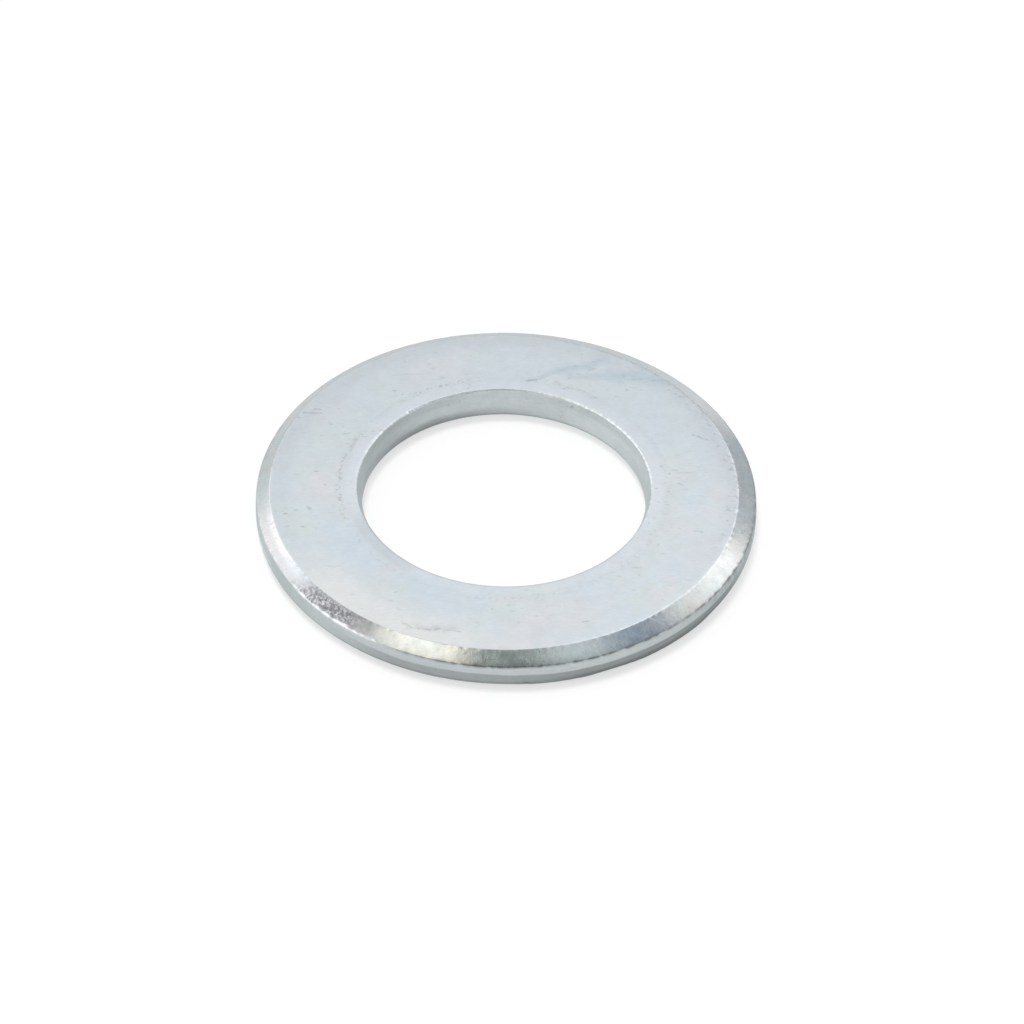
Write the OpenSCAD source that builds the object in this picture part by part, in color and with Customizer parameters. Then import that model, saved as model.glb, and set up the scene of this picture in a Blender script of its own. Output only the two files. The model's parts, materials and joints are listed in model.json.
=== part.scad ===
// Flat washer punched from steel plate, with a chamfer round the top of its rim.
// The bore's axis is Z, and the washer lies on its bottom face at z = 0.
// Punching rolls in the two bottom edges, shears a straight land above each of them,
// and breaks away at a slight lean over the rest of the thickness.

/* [Washer] */
// Diameter of the bore on its straight land, for a 36 mm bolt
bore_d = 37.4; // [30:0.2:45]
// Diameter of the rim on its straight land
rim_d = 66; // [55:0.5:82]
// Thickness from the bottom face to the top face
thickness = 4.6; // [3.8:0.1:8]

/* [Chamfer] */
// Height of the chamfer
chamfer_h = 1.15; // [0.6:0.05:1.5]
// Slope of the chamfer, in degrees from the top face
chamfer_slope = 29; // [20:1:45]
// Radius of the edge where the chamfer leaves the top face
chamfer_crest_r = 0.4; // [0.1:0.05:1.5]
// Radius of the edge where the chamfer meets the rim
chamfer_foot_r = 0.25; // [0.05:0.05:0.8]

/* [Rim] */
// Radius of the rolled-in bottom edge
rim_roll_r = 1.2; // [0.3:0.1:2]
// Height of the straight land above the rolled edge
rim_land = 0.8; // [0.2:0.1:1.4]
// How far the rim leans in from its land up to the chamfer
rim_lean = 0.1; // [0.02:0.02:0.4]

/* [Bore] */
// Radius of the rolled-in bottom edge
bore_roll_r = 1.2; // [0.3:0.1:2]
// Height of the straight land above the rolled edge
bore_land = 1.8; // [0.5:0.1:2.2]
// How far the bore widens from its land up to the top face
bore_lean = 0.4; // [0.02:0.01:0.6]
// Radius of the bore's top edge
bore_edge_r = 0.3; // [0.05:0.05:0.6]

/* [Hidden] */
$fn = 180;

bore_r = bore_d / 2;
rim_r = rim_d / 2;
chamfer_w = chamfer_h / tan(chamfer_slope);
chamfer_foot = [rim_r - rim_lean, thickness - chamfer_h];
chamfer_crest = [chamfer_foot.x - chamfer_w, thickness];

// The section's sharp corners as [radius from the axis, height], each with its rounding
SECTION = [
    [[bore_r, 0], bore_roll_r],
    [[rim_r, 0], rim_roll_r],
    [[rim_r, rim_roll_r + rim_land], 0],
    [chamfer_foot, chamfer_foot_r],
    [chamfer_crest, chamfer_crest_r],
    [[bore_r + bore_lean, thickness], bore_edge_r],
    [[bore_r, bore_roll_r + bore_land], 0],
];

function unit(v) = v / norm(v);

// Directions from corner i to the corners before and after it
function before(c, i) = unit(c[(i + len(c) - 1) % len(c)][0] - c[i][0]);
function after(c, i) = unit(c[(i + 1) % len(c)][0] - c[i][0]);

// Half the angle inside corner i
function half_angle(c, i) = acos(before(c, i) * after(c, i)) / 2;

// Where the rounding of corner i leaves its two sides, and the centre that it turns about
function setback(c, i) = c[i][1] / tan(half_angle(c, i));
function tangents(c, i) = [
    c[i][0] + before(c, i) * setback(c, i),
    c[i][0] + after(c, i) * setback(c, i),
];
function centre(c, i) =
    c[i][0] + unit(before(c, i) + after(c, i)) * c[i][1] / sin(half_angle(c, i));

// A convex outline with true arcs at its rounded corners
module rounded_outline(c) {
    polygon([
        for (i = [0 : len(c) - 1])
            each c[i][1] > 0 ? tangents(c, i) : [c[i][0]]
    ]);
    for (i = [0 : len(c) - 1])
        if (c[i][1] > 0)
            translate(centre(c, i)) circle(r = c[i][1]);
}

module washer() {
    color([0.80, 0.83, 0.86])
        rotate_extrude()
            rounded_outline(SECTION);
}

washer();
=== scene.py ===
import json
import math

import bpy
import numpy as np
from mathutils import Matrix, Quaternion, Vector, noise


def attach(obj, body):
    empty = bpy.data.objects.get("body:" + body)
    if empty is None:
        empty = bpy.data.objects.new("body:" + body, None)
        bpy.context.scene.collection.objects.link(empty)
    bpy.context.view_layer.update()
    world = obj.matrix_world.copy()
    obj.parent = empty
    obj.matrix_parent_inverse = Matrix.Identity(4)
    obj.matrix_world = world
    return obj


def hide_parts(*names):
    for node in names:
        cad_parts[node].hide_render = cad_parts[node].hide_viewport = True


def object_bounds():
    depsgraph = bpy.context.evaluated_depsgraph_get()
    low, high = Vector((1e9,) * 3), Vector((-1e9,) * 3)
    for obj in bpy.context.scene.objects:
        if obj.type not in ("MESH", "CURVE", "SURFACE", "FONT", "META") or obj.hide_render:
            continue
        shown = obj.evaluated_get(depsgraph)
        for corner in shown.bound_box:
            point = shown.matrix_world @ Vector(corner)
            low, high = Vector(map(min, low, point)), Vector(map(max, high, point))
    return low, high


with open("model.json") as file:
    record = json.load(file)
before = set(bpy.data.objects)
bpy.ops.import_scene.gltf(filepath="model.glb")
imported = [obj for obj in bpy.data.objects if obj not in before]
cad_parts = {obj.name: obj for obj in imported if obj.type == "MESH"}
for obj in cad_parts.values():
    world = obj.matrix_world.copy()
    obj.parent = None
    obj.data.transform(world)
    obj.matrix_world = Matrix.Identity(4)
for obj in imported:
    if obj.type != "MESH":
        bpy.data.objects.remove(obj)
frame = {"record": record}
cad_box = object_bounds()

# Sizes are in millimetres, with MM to turn them into metres. Turns are in degrees, seen from above:
# 0 is the washer's right end, 90 its front, 180 its left end and 270 its back.
MM = 0.001

# Section. The bore and the thickness are the CAD model's, and the rim stays a little inside its box
BORE_R = next(mount["dims"]["r_mm"] for mount in frame["record"]["mounts"] if mount["name"] == "bore")
THICK = round(cad_box[1][2] / MM, 3)
RIM_GAP = 0.01
RIM_R = round(cad_box[1][0] / MM, 3) - RIM_GAP
ROLLED_R = 1.2
RIM_LAND = 0.8
RIM_LEAN = 0.1
BORE_LAND = 1.8
BORE_LEAN = 0.6
CHAMFER_H = 1.15
CHAMFER_SLOPE = math.radians(29)
CHAMFER_W = round(CHAMFER_H / math.tan(CHAMFER_SLOPE), 4)
FOOT = (RIM_R - RIM_LEAN, THICK - CHAMFER_H)
CREST = (FOOT[0] - CHAMFER_W, THICK)
BORE_EDGE = (BORE_R + BORE_LEAN, THICK)
# Corners of the section: radius from the axis, height, rounding, and the mesh steps round the corner
# and along the side that follows it
CORNERS = [
    (BORE_R, 0.0, ROLLED_R, 7, 5),
    (RIM_R, 0.0, ROLLED_R, 7, 5),
    (RIM_R, ROLLED_R + RIM_LAND, 6.0, 2, 9),
    (*FOOT, 0.24, 5, 22),
    (*CREST, 0.50, 7, 15),
    (*BORE_EDGE, 0.38, 7, 8),
    (BORE_R, ROLLED_R + BORE_LAND, 3.0, 2, 5),
]
# How strongly the points of a side crowd towards its ends
CROWDING = 0.7
# Copies of the section round the axis
TURNS = 940

# Camera: where it stands, the point of the top face that it aims at, lens and roll
CAMERA_AT = Vector((-0.1, -325.915, 297.151))
CAMERA_AIM = Vector((0.778, -5.342, THICK))
LENS = 117.14
ROLL = math.radians(1.016)

# The bore and the crest sit this far to the left of the rim's centre
OFF_CENTRE = 0.3
# Radii on the top face: the broken ring round the bore, the collar inside it, and where the chips are
RING_R = 21.7
COLLAR_R = 20.9
CHIPS_R = (29.2, 31.2)
# Turns of the middle of the rough patch and of the nick in the bottom edge
PATCH_TURN = 132.5
NICK_TURN = 85.0
# Heights on the rim: its dents, the middle of its fuller stretch, the nick, and the top of its land
DENT_Z = 0.35
FULLER_Z = 0.32
NICK_Z = 0.55
LAND_Z = 2.1
# Heights in the bore: the torn lip under the top edge, and the chips
LIP_Z = THICK - 0.22
CHIP_Z = 3.95
# Radius of the circle on which the wear of the edges is drawn from the noise
EDGE_NOISE_R = 30
# What makes the noise of each seed another one
SEED_STEPS = (17.3, 5.1, 9.7)

# Depths of waves, wear and dents
TOP_WAVES = 0.006
CHAMFER_WAVES = 0.0045
CHAMFER_RIPPLE = 0.0020
WALL_WAVES = 0.004
EDGE_WEAR = 0.030
LEFT_FOOT_WEAR = 0.040
SOFT_CREST_WEAR = 0.035
BORE_EDGE_WEAR = 0.045
LIP_DEPTH = 0.04
PIT_DEPTH = 0.010
DENT_DEPTH = 0.04
NICK_DEPTH = 0.10
# How much fuller the rolled edge is at the front right
FULLER = 0.14
# A point lower than this is on the underside, which stays flat
UNDERSIDE = 0.001
# The punch draws the walls' waves out round the washer, and the mottle of their painted shade with them,
# so both are squeezed in height
DRAWN_WAVES = (1, 1, 5)
DRAWN_SHADE = (1, 1, 3)


# Section of the ring

def corner_arc(before, corner, after, rounding, steps):
    """Points round one corner of the section, with their outward normals."""
    came = (corner - before).normalized()
    goes = (after - corner).normalized()
    bend = -came.angle_signed(goes)
    start = corner - came * rounding * math.tan(bend / 2)
    first = Vector((came.y, -came.x))
    centre = start - first * rounding
    arc = []
    for k in range(steps + 1):
        a = bend * k / steps
        normal = Vector((first.x * math.cos(a) - first.y * math.sin(a),
                         first.x * math.sin(a) + first.y * math.cos(a)))
        arc.append((centre + normal * rounding, normal))
    return arc


def side(start, end, normal, steps):
    """Points between two arcs of the section, with their outward normal."""
    points = []
    for k in range(1, steps):
        u = k / steps
        t = u - CROWDING * math.sin(2 * math.pi * u) / (2 * math.pi)
        points.append((start.lerp(end, t), normal))
    return points


def section():
    """Points of the section with their outward normals, anticlockwise from the bore's bottom edge."""
    at = [Vector(corner[:2]) for corner in CORNERS]
    arcs = []
    for i, (_, _, rounding, arc_steps, _) in enumerate(CORNERS):
        arcs.append(corner_arc(at[i - 1], at[i], at[(i + 1) % len(at)], rounding, arc_steps))
    points = []
    for i, arc in enumerate(arcs):
        end, normal = arc[-1]
        next_start = arcs[(i + 1) % len(arcs)][0][0]
        side_steps = CORNERS[i][-1]
        points += arc + side(end, next_start, normal, side_steps)
    return points


# Noise and soft steps

def grain(points, size, seed):
    """Smooth noise from about -1 to 1 at each point, with lumps of about that size."""
    shift = Vector([seed * step for step in SEED_STEPS])
    return np.array([noise.noise(Vector(p) / size + shift) for p in points])


def bump(distance, width):
    """1 at distance 0, fading to 0 over about that width."""
    return np.exp(-((distance / width) ** 2))


def ramp(value, low, high):
    """0 below low, 1 above high, smooth between them."""
    t = np.clip((value - low) / (high - low), 0, 1)
    return t * t * (3 - 2 * t)


def band(value, low, high, soft):
    """1 where value lies between low and high, with soft ends."""
    half = soft / 2
    return ramp(value, low - half, low + half) * (1 - ramp(value, high - half, high + half))


def angle_gap(turn, middle):
    """Signed difference of two angles in degrees."""
    return (turn - middle + 180) % 360 - 180


class Skin:
    """The washer's surface, point by point: its parts, its noise, its wear and the material's masks, with
    painted light and shade among them.
    """

    def __init__(self):
        rows = section()
        self.steps = len(rows)
        turns = np.arange(TURNS) * 360 / TURNS
        radii = [point.x for point, _ in rows]
        self.turn, self.r = (grid.ravel() for grid in np.meshgrid(turns, radii, indexing="ij"))
        self.z = np.tile([point.y for point, _ in rows], TURNS)
        self.normal_r = np.tile([normal.x for _, normal in rows], TURNS)
        self.normal_z = np.tile([normal.y for _, normal in rows], TURNS)
        self.cos = np.cos(np.radians(self.turn))
        self.sin = -np.sin(np.radians(self.turn))
        self.shift = OFF_CENTRE * (1 - ramp(self.r, CREST[0], FOOT[0]))
        self.y = self.r * self.sin
        self.at = np.stack([self.r * self.cos - self.shift, self.y, self.z], 1)
        self.find_parts()
        self.find_noise()
        self.find_patch()
        self.find_torn_places()

    def stretch(self, start, end, soft, wave=0.0):
        """1 from one turn to another, with soft ends, which a wave in degrees can move."""
        half = (end - start) / 2
        return band(angle_gap(self.turn, start + half) + wave, -half, half, soft)

    def around(self, turn, width):
        """1 at that turn, fading out on both sides."""
        return bump(angle_gap(self.turn, turn), width)

    def gap(self, corner):
        """Distance from a corner of the section."""
        return np.hypot(self.r - corner[0], self.z - corner[1])

    def uneven(self, broad, more, most=2):
        """Strength of the wear along an edge, from 0 to the most."""
        return np.clip(self.edge + broad * self.edge_broad + more, 0, most)

    def find_parts(self):
        """Which part of the section each point is on, and how far it is from each edge."""
        outside = self.r > (BORE_R + RIM_R) / 2
        self.faces_bore = (self.normal_r < -0.3) & ~outside
        self.low_rim = (self.normal_r > 0.2) & outside
        self.on_top = (self.z > THICK - 0.02) & (self.normal_z > 0.9)
        # Across the chamfer: 0 at its crest and 1 at its foot
        self.across = (self.r - CREST[0]) / (FOOT[0] - CREST[0])
        self.chamfer = band(self.across, 0, 1, 0.06) * (self.z > FOOT[1] - 0.1)
        self.rim = band(self.z, -1, FOOT[1] - 0.05, 0.16) * (self.normal_r > 0.3) * outside
        self.bore = band(self.z, -1, THICK - 0.12, 0.16) * self.faces_bore
        self.collar = band(self.r, 0, COLLAR_R, 0.6) * self.on_top
        self.crest_gap = self.gap(CREST)
        self.foot_gap = self.gap(FOOT)
        self.bore_gap = self.gap(BORE_EDGE)
        self.bore_front = self.stretch(35, 160, 30)

    def find_noise(self):
        """Noise in the solid, and noise that runs along the edges."""
        self.fine = grain(self.at, 0.45, 1)
        self.mid = grain(self.at, 1.5, 2)
        self.broad = grain(self.at, 6.0, 3)
        x, y = EDGE_NOISE_R * self.cos, EDGE_NOISE_R * self.sin
        self.edge = grain(np.stack([x, y, self.z * 0.3], 1), 0.6, 4)
        self.edge_broad = grain(np.stack([x, y, self.z * 0.1], 1), 4.0, 5)

    def find_patch(self):
        """The rough patch at the chamfer's front left, and the scuffed metal on its right."""
        away = angle_gap(self.turn, PATCH_TURN)
        off = away + 2.0 * self.mid - 3 * self.across
        patch = ramp(off, -12, -5) * (1 - ramp(off, 4, 13)) * self.chamfer
        patch *= 1 - 0.45 * ramp(self.across + 0.25 * self.mid, 0.65, 1.0)
        patch *= 0.30 + 0.70 * ramp(self.across + 0.08 * self.mid, 0.02, 0.30)
        self.patch = patch
        scuff = band(away + 2.5 * self.mid, -12.5, -5, 5.0) * self.chamfer
        self.scuff = scuff * (1 - 0.6 * ramp(self.across, 0.5, 1.0)) * (0.85 + 0.5 * self.fine)

    def find_torn_places(self):
        """The torn lip under the bore's top edge, deepest at the back, and the nick in the bottom edge."""
        torn = np.clip(0.10 + 1.0 * self.edge_broad + 1.6 * self.edge, 0, 1.1) * self.stretch(241, 284, 12)
        torn *= 0.50 + 0.60 * self.around(263, 7)
        self.lip = bump(self.z - LIP_Z - 0.08 * self.edge, 0.06) * self.faces_bore * torn
        self.nick = bump(self.z - NICK_Z, 0.35) * self.low_rim * self.around(NICK_TURN, 0.45)

    def waves(self):
        """Depth of the plate's slow waves, of the softer ones of the turned chamfer, and of the walls'."""
        calm = 1 - 0.7 * self.stretch(145, 215, 20) - 0.5 * self.stretch(20, 37, 6)
        turned = CHAMFER_WAVES * (1 + self.mid) + CHAMFER_RIPPLE * (1 + self.fine)
        drawn = 1 + grain(self.at * DRAWN_WAVES, 2.0, 7)
        waves = TOP_WAVES * (1 + self.broad) * self.on_top
        waves += self.chamfer * calm * turned
        waves += np.maximum(self.rim, self.bore) * WALL_WAVES * drawn
        return waves

    def edge_wear(self):
        """Depth of the wear of the edges, most of all at the crest's right and the foot's left."""
        crest = EDGE_WEAR * (1 + self.stretch(-41, 11, 20))
        foot = EDGE_WEAR * (1 + self.stretch(6, 40, 8)) + LEFT_FOOT_WEAR * self.stretch(118, 148, 8)
        bore = BORE_EDGE_WEAR * (1 - 0.7 * self.bore_front)
        soft_crest = SOFT_CREST_WEAR * (self.stretch(142, 194, 16) + 0.8 * self.stretch(108, 126, 8))
        wear = bump(self.crest_gap, 0.30) * crest * self.uneven(0.5, 0.3)
        wear += bump(self.crest_gap, 0.75) * soft_crest * (1 + 0.8 * self.edge_broad)
        wear += bump(self.foot_gap, 0.26) * foot * self.uneven(0.4, 0.3)
        wear += bump(self.bore_gap, 0.22) * bore * self.uneven(0.8, 0.1)
        return wear

    def bottom_dents(self):
        """Depth of the dents in the rim's bottom edge, less than nothing where the edge is fuller."""
        fuller = self.stretch(37, 61, 8) + 0.7 * self.stretch(69, 86, 6)
        roll = bump(self.z - FULLER_Z, 0.32) * ramp(self.z, 0.02, 0.27) * self.low_rim
        dents = bump(self.z - DENT_Z, 0.4) * self.low_rim * DENT_DEPTH * self.uneven(0.8, -0.25, 1.5)
        return dents - roll * FULLER * fuller + self.nick * NICK_DEPTH

    def points(self):
        """Every point in metres, moved in along its normal by the depth there."""
        pits = self.patch * PIT_DEPTH * np.clip(grain(self.at, 0.34, 6) * 1.6 + 0.2, 0, 1)
        depth = self.waves() + self.edge_wear() + self.lip * LIP_DEPTH + pits + self.bottom_dents()
        depth = np.where(self.z < UNDERSIDE, 0.0, depth)
        r = self.r - depth * self.normal_r
        return np.stack([r * self.cos - self.shift, r * self.sin, self.z - depth * self.normal_z], 1) * MM

    def land(self):
        """The burnished land round the bottom of the rim."""
        top = LAND_Z + 0.2 * self.around(105, 28) + 0.1 * self.edge_broad
        return band(self.z, -1, top, 0.2) * self.rim

    def top_painted_shade(self):
        """Painted shade: darker plating on the outside and the back of the top face, and on the collar's
        front left.
        """
        behind = self.stretch(158, 380, 50, 8 * self.broad)
        outer = ramp(self.r + 0.5 * self.mid, 27.0, 30.0)
        top_painted_shade = np.clip(0.6 * outer + 0.4 * ramp(self.y, -5, 15), 0, 1) * behind * self.on_top
        return top_painted_shade + 0.75 * self.collar * self.stretch(127, 162, 12)

    def wall_painted_shade(self, land):
        """Painted shade on the rim's land and above it, and in the bore at its back left, where the walls
        mirror the floor's shadow.
        """
        above = self.rim - land
        mottled = ramp(self.fine + self.edge + 0.5 * grain(self.at * DRAWN_SHADE, 0.8, 8), -0.3, 0.6)
        dirt_and_shade = land * 0.76 * self.stretch(22, 124, 26) * (1 - 0.28 * ramp(self.turn, 66, 96))
        dirt_and_shade += land * 0.20 * self.stretch(20, 76, 12) * (1 - ramp(self.z, 0.9, 1.6))
        dirt_and_shade += above * (0.12 + 0.34 * mottled) * self.around(18, 24)
        dirt_and_shade += above * 0.30 * self.around(5, 5)
        low = 1 - ramp(self.z + 0.1 * self.edge_broad, 1.25, 2.25)
        dirt_and_shade += self.bore * 0.70 * self.around(233, 36) * low
        dirt_and_shade += self.bore * 0.32 * self.around(208, 26) * ramp(self.z, 1.2, 2.0)
        return dirt_and_shade

    def chamfer_dirt_and_shade(self):
        """Grime in the middle of the patch and, round the front, painted shade on the chamfer's lower
        half.
        """
        dirt_and_shade = self.patch * 0.16 * bump(self.across - 0.5, 0.3)
        # Painted shade on the chamfer's lower half round the front
        lower = self.chamfer * ramp(self.across, 0.45, 1.0) * (self.turn < 205)
        return dirt_and_shade + lower * (0.10 + 0.30 * self.around(86, 30))

    def edge_dark_lines(self):
        """Jagged dark lines along the foot, the crest and the bore's top edge; the line along the foot is
        painted shade.
        """
        jagged = np.clip(0.6 + 0.9 * self.edge + 0.3 * self.fine, 0, 1)
        # The foot's dark line is painted shade
        foot_line = self.stretch(12, 116, 8) * (0.64 + 0.50 * self.around(70, 22))
        foot_line += 0.7 * self.stretch(326, 372, 12) + 0.4 * self.around(26, 14)
        dirt_and_shade = bump(self.foot_gap, 0.20) * jagged * foot_line
        dirt_and_shade += bump(self.crest_gap, 0.16) * jagged * 0.40 * self.stretch(284, 334, 12)
        dirt_and_shade += bump(self.bore_gap - 0.06, 0.16) * 0.30 * self.bore_front
        return dirt_and_shade

    def wear_and_highlight(self, land):
        """Rubbed metal and painted highlights along stretches of the edges, and painted light on the left
        end of both walls.
        """
        spotty = np.clip(0.55 + 1.1 * self.edge + 0.5 * self.fine, 0, 1)
        crest_shine = (0.25 + 0.65 * spotty) * self.stretch(22, 76, 14)
        crest_shine += 0.8 * spotty * self.stretch(333, 377, 12) + 0.3 * self.stretch(147, 183, 10)
        bore_shine = 0.25 * (1 - self.bore_front)
        bore_shine += 0.60 * self.stretch(293, 375, 30) + 0.35 * self.stretch(185, 240, 16)
        broken = 0.60 + 1.3 * self.edge + 0.6 * self.edge_broad + 0.4 * self.fine
        bore_shine *= np.clip(broken, 0.08, 1)
        wear_and_highlight = bump(self.crest_gap, 0.12) * crest_shine
        wear_and_highlight += bump(self.foot_gap, 0.24) * (0.30 + 0.60 * spotty) * self.stretch(121, 144, 5)
        wear_and_highlight += bump(self.bore_gap - 0.04, 0.18) * bore_shine
        # Painted light on the rim's left end, most on its land, and low in the bore at its left
        wear_and_highlight += (land * 0.72 + (self.rim - land) * 0.26) * self.around(163.5, 7.5)
        wear_and_highlight += self.bore * (1 - ramp(self.z, 1.2, 1.7)) * 0.28 * self.around(193, 8)
        return np.clip(wear_and_highlight, 0, 1) * (1 - np.clip(2 * self.lip, 0, 1))

    def chips(self):
        """Where the plating is chipped: along the right of the crest, and at one place in the bore."""
        crest = band(self.r, *CHIPS_R, 0.6) * self.stretch(312, 382, 20) * (self.z > FOOT[1] + 0.6)
        return crest + 2.6 * self.bore * bump(self.z - CHIP_Z, 0.28) * self.stretch(295, 306, 3)

    def bore_painted_light(self):
        """Painted light in the bore: lighter from its back right round to turn 120, and high up at its
        back.
        """
        right = ramp(angle_gap(self.turn, 300), -20, 25)
        high = 0.7 * ramp(self.z, 2.9, 3.5) * self.stretch(252, 305, 12)
        return self.bore * np.maximum(right, high)

    def masks(self):
        """What the material reads at each point, by name."""
        land = self.land()
        dirt_and_shade = self.wall_painted_shade(land) + self.chamfer_dirt_and_shade() + self.edge_dark_lines()
        return {
            "gloss": self.chamfer,
            "wall": np.maximum(self.rim, self.bore),
            "land": land,
            # Dirt, and painted shade on the walls, the chamfer's lower half and the foot
            "dirt_and_shade": np.clip(dirt_and_shade, 0, 1),
            # Painted light in the bore
            "bore_painted_light": self.bore_painted_light(),
            "patch": self.patch,
            "scuff": self.scuff,
            # Rubbed metal, painted highlights along the edges, and painted light on the walls' left end
            "wear_and_highlight": self.wear_and_highlight(land),
            # Painted shade in the torn lip and the nick
            "lip_and_nick_shade": np.clip(np.maximum(0.5 * self.lip, self.nick), 0, 1),
            "chips": self.chips(),
            "flecks": self.chamfer * (self.stretch(41, 97, 14) + 0.6 * self.stretch(315, 371, 14)),
            "collar": self.collar * (0.35 + 0.65 * ramp(self.y, -12, 4)),
            # Painted light on the top face's front left
            "top_painted_light": self.stretch(94, 148, 22, 6 * self.broad) * ramp(self.r, 24, 29) * self.on_top,
            # Painted shade on the top face's outside and back, and on the collar's front left
            "top_painted_shade": self.top_painted_shade(),
        }


def washer_mesh():
    """The skin as a closed mesh of quads, with its masks as attributes."""
    skin = Skin()
    here = np.arange(TURNS)[:, None] * skin.steps + np.arange(skin.steps)[None, :]
    next_turn = np.roll(here, -1, 0)
    faces = np.stack([here, next_turn, np.roll(next_turn, -1, 1), np.roll(here, -1, 1)], 2)
    mesh = bpy.data.meshes.new("washer_plate")
    mesh.from_pydata(skin.points().tolist(), [], faces.reshape(-1, 4).tolist())
    mesh.shade_smooth()
    for name, value in skin.masks().items():
        layer = mesh.attributes.new(name, "FLOAT", "POINT")
        layer.data.foreach_set("value", np.asarray(value, np.float32))
    return mesh


# Materials

class Graph:
    """Short ways to add nodes to a material or a world."""

    def __init__(self, owner):
        owner.use_nodes = True
        self.tree = owner.node_tree
        self.tree.nodes.clear()

    def plug(self, socket, value):
        if isinstance(value, bpy.types.NodeSocket):
            self.tree.links.new(value, socket)
        else:
            socket.default_value = value

    def add(self, kind, inputs=None, **settings):
        node = self.tree.nodes.new(kind)
        for key, value in settings.items():
            setattr(node, key, value)
        for key, value in (inputs or {}).items():
            self.plug(node.inputs[key], value)
        return node

    def math(self, operation, a, b=0.0, c=0.0):
        return self.add("ShaderNodeMath", {0: a, 1: b, 2: c}, operation=operation).outputs[0]

    def vector(self, operation, a, b=(0, 0, 0)):
        return self.add("ShaderNodeVectorMath", {0: a, 1: b}, operation=operation).outputs[0]

    def length(self, a):
        return self.add("ShaderNodeVectorMath", {0: a}, operation="LENGTH").outputs["Value"]

    def shown(self):
        """1 for the rays that show a surface to the camera, straight or in metal or glass."""
        path = self.add("ShaderNodeLightPath").outputs
        mirrored_ray = self.math("MAXIMUM", path["Is Glossy Ray"], path["Is Transmission Ray"])
        return self.math("MAXIMUM", path["Is Camera Ray"], mirrored_ray)

    def mask(self, name):
        return self.add("ShaderNodeAttribute", attribute_name=name).outputs["Fac"]

    def noise(self, coords, scale, detail=2.0, roughness=0.5, output="Fac"):
        return self.add("ShaderNodeTexNoise", {"Vector": coords, "Scale": scale, "Detail": detail,
                                               "Roughness": roughness}).outputs[output]

    def shaken(self, coords, scale, detail, reach):
        """The same places, pushed about in the plane by noise."""
        push = self.vector("SUBTRACT", self.noise(coords, scale, detail, output="Color"), (0.5, 0.5, 0.5))
        return self.vector("ADD", coords, self.vector("MULTIPLY", push, (reach, reach, 0.0)))

    def spread(self, value, low, high, to_low=0.0, to_high=1.0):
        return self.add("ShaderNodeMapRange", {"Value": value, "From Min": low, "From Max": high,
                                               "To Min": to_low, "To Max": to_high}).outputs[0]

    def mix(self, amount, a, b, blend="MIX"):
        node = self.add("ShaderNodeMix", {0: amount, 6: a, 7: b}, data_type="RGBA", blend_type=blend)
        return node.outputs[2]

    def drift(self, noise, low, high, a, b):
        """Colour a where the noise is low and b where it is high."""
        return self.mix(self.spread(noise, low, high), a, b)

    def mix_values(self, amount, a, b):
        return self.add("ShaderNodeMix", {0: amount, 2: a, 3: b}).outputs[0]

    def toned(self, colour, tone):
        """The colour, lighter or darker by a factor."""
        grey = self.add("ShaderNodeCombineColor", {0: tone, 1: tone, 2: tone}).outputs[0]
        return self.mix(1.0, colour, grey, "MULTIPLY")


# Scratches in the top face: where each starts and ends, its half width and how dark it is
SCRATCHES = [
    ((-12.9, -26.4), (-10.8, -27.3), 0.16, 0.35),
    ((-10.8, -27.3), (-8.1, -27.4), 0.26, 0.50),
    ((-11.6, -26.9), (-6.4, -27.2), 0.70, 0.22),
    ((-8.1, -27.4), (-5.5, -27.7), 0.14, 0.35),
    ((-8.9, -29.7), (-7.3, -29.9), 0.14, 0.25),
    ((2.6, 21.2), (3.8, 21.5), 0.20, 0.60),
    ((3.8, 21.5), (6.4, 22.9), 0.16, 0.20),
    ((9.3, 19.6), (11, 18.65), 0.12, 0.35),
    ((11.3, 17.9), (12, 17.8), 0.20, 0.45),
    ((16, 19.7), (16.3, 19.5), 0.16, 0.40),
    ((24.9, 10.6), (26.7, 9.6), 0.16, 0.50),
    ((22.5, 2.9), (24.9, 2.9), 0.12, 0.25),
    ((25.1, -1.6), (26.5, -1.7), 0.12, 0.25),
    ((24.3, -8.5), (25.4, -8.6), 0.12, 0.35),
    ((-27.3, 13.8), (-24.9, 13.8), 0.15, 0.45),
    ((-26, 14.6), (-25.1, 14.6), 0.15, 0.45),
    ((-23.9, 11.9), (-23.6, 11.5), 0.20, 0.35),
    ((-20.2, 8.8), (-20.7, 6.4), 0.30, 0.30),
    ((-25.9, -5.1), (-25.6, -5.3), 0.26, 0.45),
    ((-23, -16.1), (-21.1, -16.1), 0.12, 0.25),
    ((-16, 21.9), (-10, 22.5), 0.12, 0.15),
]
# Bluish smears at the back, given in the same way
SMEARS = [
    ((3.1, 21.4), (7.3, 23.2), 0.35, 0.55),
    ((7.3, 23.5), (13.3, 25.8), 1.00, 0.75),
    ((8.4, 22.4), (14.9, 22.9), 0.80, 0.60),
    ((13.9, 22.6), (20.7, 21.8), 1.30, 0.80),
]
# A mark fades out at this many of its half widths
MARK_FADE = 1.4

# Colours of the metal: the plating's tints, the tones of parts and places, painted light and shade, dirt,
# and the tint that the metal takes on at grazing angles
BLUE = (0.622, 0.690, 0.755, 1)
GREEN = (0.640, 0.701, 0.713, 1)
ROSE = (0.680, 0.693, 0.728, 1)
LILAC = (0.690, 0.740, 0.790, 1)
SMEAR = (0.470, 0.555, 0.620, 1)
# Painted light on the top face's front left
TOP_PAINTED_LIGHT = (0.735, 0.752, 0.765, 1)
# Painted shade on the top face's outside and back
TOP_PAINTED_SHADE = (0.570, 0.622, 0.662, 1)
WALL = (0.510, 0.555, 0.562, 1)
# Painted light in the bore
BORE_PAINTED_LIGHT = (0.590, 0.635, 0.642, 1)
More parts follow.
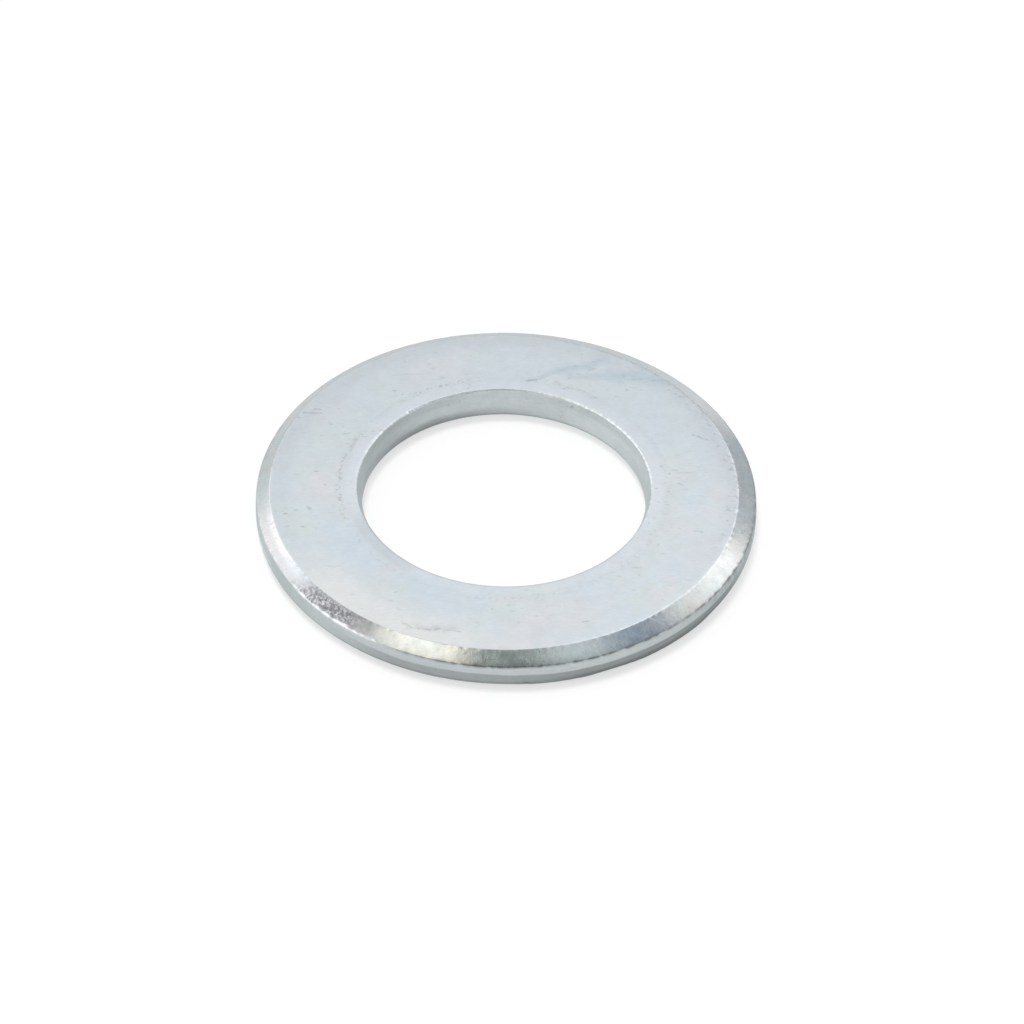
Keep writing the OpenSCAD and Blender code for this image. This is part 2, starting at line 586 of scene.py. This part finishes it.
# Dirt and painted shade on the walls, the chamfer and the foot
DIRT_AND_SHADE_DARK = (0.200, 0.212, 0.212, 1)
CHAMFER_COOL = (0.605, 0.658, 0.690, 1)
CHAMFER_WARM = (0.650, 0.652, 0.652, 1)
DARK = (0.26, 0.27, 0.27, 1)
PATCH_DARK = (0.270, 0.273, 0.288, 1)
PATCH_LIGHT = (0.680, 0.684, 0.704, 1)
SCUFF = (0.440, 0.455, 0.465, 1)
# Painted shade in the torn lip and the nick
LIP_AND_NICK_SHADE = (0.11, 0.11, 0.11, 1)
# Rubbed metal and painted highlights
WEAR_AND_HIGHLIGHT = (0.930, 0.950, 0.970, 1)
EDGE_TINT = (0.69, 0.725, 0.73, 1)
LAND_ROUGHNESS = 0.22
# The direction in which the broken ring gets stronger
BACK_LEFT = (-0.8, 0.6, 0)
# Height of the relief for a value of 1, in metres, and how strong each kind of it is on its part
RELIEF_HEIGHT = 0.00001
CRYSTAL_RELIEF = 0.2
STREAK_RELIEF = 0.7
CHAMFER_RELIEF = 0.45
FLECK_RELIEF = 1.3
PIT_RELIEF = 2.6


def marks(g, at, segments):
    """How strongly the segments mark each point of the top face."""
    most = 0.0
    for (ax, ay), (bx, by), half, strength in segments:
        middle = ((ax + bx) / 2 * MM, (ay + by) / 2 * MM, THICK * MM)
        heading = math.atan2(by - ay, bx - ax)
        length = math.hypot(bx - ax, by - ay) * MM
        local = g.add("ShaderNodeMapping", {"Vector": at, "Location": middle, "Rotation": (0, 0, heading)},
                      vector_type="TEXTURE").outputs[0]
        beyond = g.vector("SUBTRACT", g.vector("ABSOLUTE", local), (length / 2, 0, 0))
        away = g.length(g.vector("MAXIMUM", beyond))
        most = g.math("MAXIMUM", g.spread(away, 0, half * MARK_FADE * MM, strength, 0), most)
    return most


def plating(g, at):
    """Passivated zinc: blue, green and rose tints drift into each other, then each part's own tones, with
    painted light, shade and highlights among them.
    """
    colour = g.drift(g.noise(at, 150, detail=5, roughness=0.65), 0.38, 0.62, BLUE, GREEN)
    colour = g.drift(g.noise(at, 110, detail=5, roughness=0.65), 0.50, 0.68, colour, ROSE)
    colour = g.mix(g.math("MULTIPLY", g.mask("collar"), 0.8), colour, LILAC)
    # Painted light on the top face's front left, then painted shade on its outside and back
    colour = g.mix(g.mask("top_painted_light"), colour, TOP_PAINTED_LIGHT)
    colour = g.mix(g.mask("top_painted_shade"), colour, TOP_PAINTED_SHADE)
    swirled = g.shaken(at, 350, detail=2, reach=3.0 * MM)
    colour = g.mix(marks(g, swirled, SMEARS), colour, SMEAR)
    haze = g.noise(at, 130, detail=3, roughness=0.6)
    chamfer = g.drift(haze, 0.38, 0.62, CHAMFER_COOL, CHAMFER_WARM)
    grit = g.noise(at, 2500, detail=2, roughness=0.6)
    patch = g.drift(grit, 0.42, 0.66, PATCH_DARK, PATCH_LIGHT)
    # The walls' painted light, dirt and painted shade, and rubbed metal with painted highlights
    for part, tone in (("gloss", chamfer), ("wall", WALL), ("bore_painted_light", BORE_PAINTED_LIGHT), ("scuff", SCUFF),
                       ("patch", patch), ("dirt_and_shade", DIRT_AND_SHADE_DARK), ("wear_and_highlight", WEAR_AND_HIGHLIGHT)):
        colour = g.mix(g.mask(part), colour, tone)
    return colour


def grained(g, at, colour, crystals):
    """The colour with fine crystals, cloudy patches, and streaks that run round the walls."""
    clouds = g.spread(g.noise(at, 500, detail=4, roughness=0.6), 0.3, 0.7, 0.97, 1.03)
    colour = g.toned(colour, g.math("MULTIPLY", g.spread(crystals, 0.3, 0.7, 0.975, 1.025), clouds))
    flattened = g.vector("MULTIPLY", at, (1, 1, 6))
    drawn = g.spread(g.noise(flattened, 900, detail=3, roughness=0.65), 0.35, 0.65, 0.96, 1.03)
    return g.mix(g.mask("wall"), colour, g.toned(colour, drawn))


def broken_ring(g, at):
    """How dark the broken ring round the bore is, more strongly so at the back left."""
    flat = g.vector("MULTIPLY", g.vector("ADD", at, (OFF_CENTRE * MM, 0, 0)), (1, 1, 0))
    off_ring = g.math("ABSOLUTE", g.math("SUBTRACT", g.length(flat), RING_R * MM))
    to_back_left = g.add("ShaderNodeVectorMath", {0: flat, 1: BACK_LEFT}, operation="DOT_PRODUCT")
    part = g.spread(to_back_left.outputs["Value"], 2 * MM, 14 * MM, 0.4, 1)
    line = g.math("MULTIPLY", g.spread(off_ring, 0.1 * MM, 0.6 * MM, 1, 0), part)
    ring = g.math("MULTIPLY", line, g.spread(g.noise(at, 2300, detail=2), 0.50, 0.62, 0, 0.36))
    return g.math("MULTIPLY", ring, g.spread(g.noise(at, 120, detail=1), 0.32, 0.52))


def dirt(g, at, rolled):
    """Specks where dirt sits in the pores, chips, the broken ring round the bore, and scratches."""
    crowd = g.spread(g.noise(at, 150, detail=2), 0.48, 0.64)
    dark = g.math("MULTIPLY", g.spread(g.noise(rolled, 1900, detail=1), 0.66, 0.76, 0, 0.40), crowd)
    chips = g.math("MULTIPLY", g.spread(g.noise(at, 1500, detail=2), 0.56, 0.68, 0, 0.30), g.mask("chips"))
    patchy = g.spread(g.noise(at, 1600, detail=2), 0.34, 0.56, 0.3, 1)
    jittery = g.shaken(at, 700, detail=3, reach=0.8 * MM)
    scratches = g.math("MULTIPLY", marks(g, jittery, SCRATCHES), patchy)
    for layer in (chips, broken_ring(g, at), scratches):
        dark = g.math("MAXIMUM", dark, layer)
    return dark


def roughness(g, at):
    """Satin on the faces, smoother on the rim's land and on the chamfer."""
    satin = g.spread(g.noise(at, 300, detail=3), 0.3, 0.7, 0.30, 0.40)
    gloss = g.spread(g.noise(at, 900, detail=3), 0.3, 0.7, 0.19, 0.29)
    rough = g.mix_values(g.mask("land"), satin, LAND_ROUGHNESS)
    return g.mix_values(g.mask("gloss"), rough, gloss)


def relief(g, at, crystals):
    """Crystals, streaks round the walls, the mottled chamfer with its flecks, and the pitted patch."""
    streaks = g.noise(g.vector("MULTIPLY", at, (1, 1, 7)), 500, detail=2)
    mottle = g.noise(at, 1900, detail=3, roughness=0.6)
    pits = g.noise(at, 3000, detail=1)
    height = g.math("MULTIPLY", crystals, CRYSTAL_RELIEF)
    for pattern, part, strength in ((streaks, "wall", STREAK_RELIEF), (mottle, "gloss", CHAMFER_RELIEF),
                                    (mottle, "flecks", FLECK_RELIEF), (pits, "patch", PIT_RELIEF)):
        height = g.math("MULTIPLY_ADD", g.math("MULTIPLY", pattern, g.mask(part)), strength, height)
    surface = g.add("ShaderNodeBump", {"Strength": 1.0, "Distance": RELIEF_HEIGHT, "Height": height})
    return surface.outputs[0]


def zinc_material():
    material = bpy.data.materials.new("zinc_plate")
    g = Graph(material)
    at = g.add("ShaderNodeTexCoord").outputs["Object"]
    # The rolling of the sheet draws out crystals and specks from left to right
    rolled = g.vector("MULTIPLY", at, (0.45, 1.0, 1.0))
    crystals = g.noise(rolled, 3200, detail=2)
    colour = grained(g, at, plating(g, at), crystals)
    colour = g.mix(dirt(g, at, rolled), colour, DARK)
    # Painted shade in the torn lip and the nick
    colour = g.mix(g.mask("lip_and_nick_shade"), colour, LIP_AND_NICK_SHADE)
    shader = g.add("ShaderNodeBsdfPrincipled",
                   {"Base Color": colour, "Metallic": 1.0, "Roughness": roughness(g, at),
                    "Normal": relief(g, at, crystals), "Specular Tint": EDGE_TINT})
    g.add("ShaderNodeOutputMaterial", {"Surface": shader.outputs[0]})
    return material


# Studio

# Soft boxes and dark cards: name, the turns and tilts of the outer edge that mirror each one, its light,
# and how many degrees its soft border takes
CARDS = [
    ("low_right", (-30, 20), (16, 40), (0.55, 0.58, 0.59), 3),
    ("key_right", (18, 36), (14, 50), (1.70, 1.64, 1.58), 3),
    ("soft_right", (35, 49), (16, 36), (1.08, 1.10, 1.06), 2),
    ("blue_card", (48, 67), (12, 42), (0.20, 0.27, 0.36), 3),
    ("pale_card", (66.5, 80.5), (15, 38), (0.82, 0.91, 0.90), 2),
    ("front_card", (79.5, 99.5), (12, 42), (0.20, 0.25, 0.24), 2),
    ("warm_lamp", (98.5, 118.5), (16, 34), (1.84, 1.75, 1.47), 2),
    ("left_card", (118, 143), (10, 34), (0.56, 0.56, 0.58), 3),
    ("key_left", (142, 172), (14, 36), (1.56, 1.55, 1.58), 4),
    ("lamp_left", (147, 166), (15, 34), (2.50, 2.46, 2.50), 5),
    ("lamp_right", (21, 35), (15, 34), (2.90, 2.77, 2.74), 4),
    ("low_left", (171, 214), (16, 40), (0.82, 0.85, 0.83), 5),
    ("camera_card", (60, 118), (38, 46), (0.14, 0.15, 0.15), 2),
    ("left_wall", (121, 147), (34, 56), (1.70, 1.70, 1.70), 2),
    ("back_card", (212, 343), (16, 42), (1.15, 1.10, 1.09), 12),
    ("crest_right", (24, 72), (4, 13), (1.90, 1.90, 1.90), 3),
    ("crest_left", (146, 210), (7, 14), (1.30, 1.30, 1.30), 2),
]
# Radius and height on the chamfer that the cards are placed for, their distance from it, and their
# mesh steps
MIRROR_R = 31.9
MIRROR_Z = 4.0
REACH = 700
CARD_STEPS = 12
# Only a card brighter than this is sampled as a lamp
LAMP_LIGHT = 1

SUN_FROM = Vector((-0.12, 0.22, 0.968))
SUN_STRENGTH = 1.3
SUN_ANGLE = math.radians(16)
SKY_LIGHT = 0.68
WHITE = (1, 1, 1, 1)
FLOOR_TONE = 0.44
FLOOR_GLOW = 0.56
# Half the floor's width, and how far it lies below the washer
FLOOR_HALF = 3000
FLOOR_DROP = 0.02
# The camera's sensor, and what it sees from and to
SENSOR = 36
CLIP_NEAR = 10
CLIP_FAR = 20000


def mirrored(turn, tilt, reach):
    """Where the camera looks, that far away, in a mirror on the washer's outer edge with that tilt."""
    a, t = math.radians(turn), math.radians(tilt)
    point = Vector((MIRROR_R * math.cos(a), -MIRROR_R * math.sin(a), MIRROR_Z))
    normal = Vector((math.sin(t) * math.cos(a), -math.sin(t) * math.sin(a), math.cos(t)))
    to_camera = (CAMERA_AT - point).normalized()
    return point + reach * (2 * normal.dot(to_camera) * normal - to_camera)


def card_mesh(name, turns, tilts, soft):
    """A curved panel where the washer's edge mirrors it, with a veil that fades out at its border."""
    points, veil, faces = [], [], []
    row = CARD_STEPS + 1
    for i in range(row):
        for j in range(row):
            u, v = i / CARD_STEPS, j / CARD_STEPS
            turn = turns[0] + (turns[1] - turns[0]) * u
            tilt = tilts[0] + (tilts[1] - tilts[0]) * v
            points.append(mirrored(turn, tilt, REACH) * MM)
            inward = min(u, 1 - u) * (turns[1] - turns[0]), min(v, 1 - v) * (tilts[1] - tilts[0])
            veil.append(min(1, min(inward) / soft))
    for i in range(CARD_STEPS):
        for j in range(CARD_STEPS):
            a = i * row + j
            faces.append((a, a + 1, a + row + 1, a + row))
    mesh = bpy.data.meshes.new(name)
    mesh.from_pydata(points, [], faces)
    mesh.attributes.new("veil", "FLOAT", "POINT").data.foreach_set("value", veil)
    return mesh


def card_material(name, light):
    material = bpy.data.materials.new(name)
    material.cycles.emission_sampling = "AUTO" if light[0] > LAMP_LIGHT else "NONE"
    g = Graph(material)
    glow = g.add("ShaderNodeEmission", {"Color": (*light, 1), "Strength": 1.0}).outputs[0]
    clear = g.add("ShaderNodeBsdfTransparent").outputs[0]
    both = g.add("ShaderNodeMixShader", {0: g.mask("veil"), 1: clear, 2: glow}).outputs[0]
    g.add("ShaderNodeOutputMaterial", {"Surface": both})
    return material


def card(name, turns, tilts, light, soft):
    """A glowing or dark card that shows in reflections only."""
    mesh = card_mesh(name, turns, tilts, soft)
    mesh.materials.append(card_material(name, light))
    panel = bpy.data.objects.new(name, mesh)
    panel.visible_camera = False
    panel.visible_diffuse = False
    panel.visible_shadow = False
    bpy.context.scene.collection.objects.link(panel)


def floor():
    """Grey paper, with a glow that makes it white for the rays that show it."""
    half, z = FLOOR_HALF * MM, -FLOOR_DROP * MM
    corners = [(-half, -half, z), (half, -half, z), (half, half, z), (-half, half, z)]
    mesh = bpy.data.meshes.new("floor")
    mesh.from_pydata(corners, [], [(0, 1, 2, 3)])
    material = bpy.data.materials.new("floor_paper")
    g = Graph(material)
    paper = g.add("ShaderNodeBsdfDiffuse", {"Color": (FLOOR_TONE, FLOOR_TONE, FLOOR_TONE, 1)}).outputs[0]
    glow = g.add("ShaderNodeEmission", {"Color": WHITE, "Strength": FLOOR_GLOW}).outputs[0]
    lit = g.add("ShaderNodeAddShader", {0: paper, 1: glow}).outputs[0]
    both = g.add("ShaderNodeMixShader", {0: g.shown(), 1: paper, 2: lit}).outputs[0]
    g.add("ShaderNodeOutputMaterial", {"Surface": both})
    mesh.materials.append(material)
    plane = bpy.data.objects.new("floor", mesh)
    bpy.context.scene.collection.objects.link(plane)


def sky():
    """White for the rays that show it, and a dimmer light for the others."""
    world = bpy.data.worlds.new("studio")
    bpy.context.scene.world = world
    g = Graph(world)
    light = g.add("ShaderNodeBackground", {"Color": WHITE, "Strength": SKY_LIGHT}).outputs[0]
    white = g.add("ShaderNodeBackground", {"Color": WHITE, "Strength": 1.0}).outputs[0]
    both = g.add("ShaderNodeMixShader", {0: g.shown(), 1: light, 2: white}).outputs[0]
    g.add("ShaderNodeOutputWorld", {"Surface": both})


def sun():
    """Soft light from the back left, for the floor's shadow."""
    data = bpy.data.lights.new("sun", "SUN")
    data.energy = SUN_STRENGTH
    data.angle = SUN_ANGLE
    lamp = bpy.data.objects.new("sun", data)
    lamp.rotation_mode = "QUATERNION"
    lamp.rotation_quaternion = (-SUN_FROM).to_track_quat("-Z", "Y")
    lamp.visible_glossy = False
    bpy.context.scene.collection.objects.link(lamp)


def camera():
    data = bpy.data.cameras.new("camera")
    data.sensor_width = SENSOR
    data.lens = LENS
    data.clip_start = CLIP_NEAR * MM
    data.clip_end = CLIP_FAR * MM
    view = bpy.data.objects.new("camera", data)
    view.location = CAMERA_AT * MM
    view.rotation_mode = "QUATERNION"
    aim = (CAMERA_AIM - CAMERA_AT).to_track_quat("-Z", "Y")
    view.rotation_quaternion = aim @ Quaternion((0, 0, 1), ROLL)
    bpy.context.scene.collection.objects.link(view)
    bpy.context.scene.camera = view


# The scene

camera()
sky()
sun()
floor()
for row in CARDS:
    card(*row)
bpy.context.scene.view_settings.view_transform = "Standard"

plate = washer_mesh()
plate.materials.append(zinc_material())
washer = bpy.data.objects.new("washer_plate", plate)
bpy.context.scene.collection.objects.link(washer)
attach(washer, "root")
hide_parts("washer")
